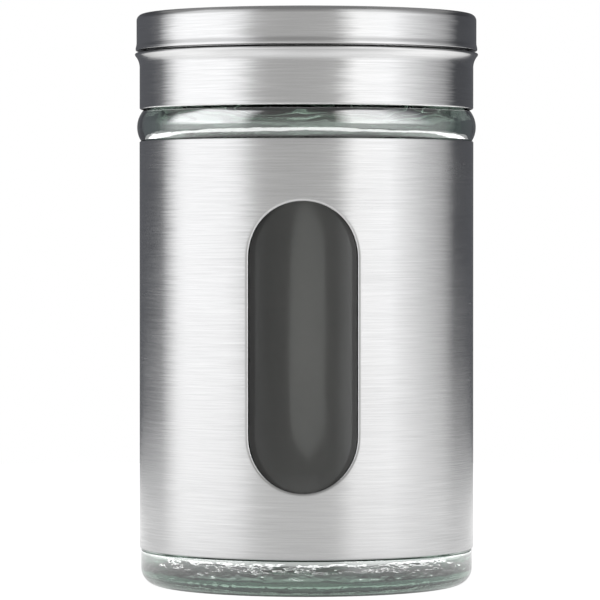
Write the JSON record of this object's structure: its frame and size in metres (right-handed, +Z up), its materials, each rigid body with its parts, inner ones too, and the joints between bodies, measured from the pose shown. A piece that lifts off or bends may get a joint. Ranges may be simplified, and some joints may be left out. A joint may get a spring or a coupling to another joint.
{
  "type": "spice jar",
  "caption": "Round glass spice jar in a brushed steel sleeve with a tall round-ended window, closed by a two-tier steel screw lid whose top turns as a shaker dial.",
  "frame": {"origin": "middle of the ring that the jar stands on, at the bottom of the box that holds the whole jar", "axes": "+Z up the jar's axis, -Y out through the middle of the sleeve's window"},
  "size_m": [0.0658, 0.0658, 0.1092],
  "materials": {
    "jar_glass": "clear pressed glass with a faint green tint",
    "sleeve_steel": "brushed round the jar",
    "collar_steel": "brushed round the lid, bright bead",
    "cover_steel": "brushed round the lid",
    "rivet_steel": "smooth satin",
    "liner_plastic": "moulded satin black",
    "sifter_plastic": "moulded satin black",
    "shutter_plastic": "moulded satin black",
    "seal_rubber": "soft matte"
  },
  "bodies": {
    "jar": {"glass_jar": "jar_glass", "steel_sleeve": "sleeve_steel"},
    "seal": {"seal_ring": "seal_rubber"},
    "lid": {"collar_shell": "collar_steel", "thread_liner": "liner_plastic", "sifter_plate": "sifter_plastic", "wave_washer": "rivet_steel", "backing_washer": "rivet_steel", "pivot_rivet": "rivet_steel"},
    "dial": {"cover_shell": "cover_steel", "shutter_disc": "shutter_plastic"}
  },
  "joints": [
    {"name": "lid_rise", "type": "slide", "parent": "jar", "child": "seal", "axis": [0, 0, 1], "range_m": [0, 0.01271]},
    {"name": "lid_turn", "type": "hinge", "parent": "seal", "child": "lid", "pos_m": [0, 0, 0.1], "axis": [0, 0, 1], "range_deg": [0, 1080]},
    {"name": "dial_turn", "type": "hinge", "parent": "lid", "child": "dial", "pos_m": [0, 0, 0.106], "axis": [0, 0, 1], "continuous": true}
  ],
  "couplings": [
    {"joint": "lid_rise", "follows": "lid_turn", "m_per_rad": 0.00067376}
  ]
}
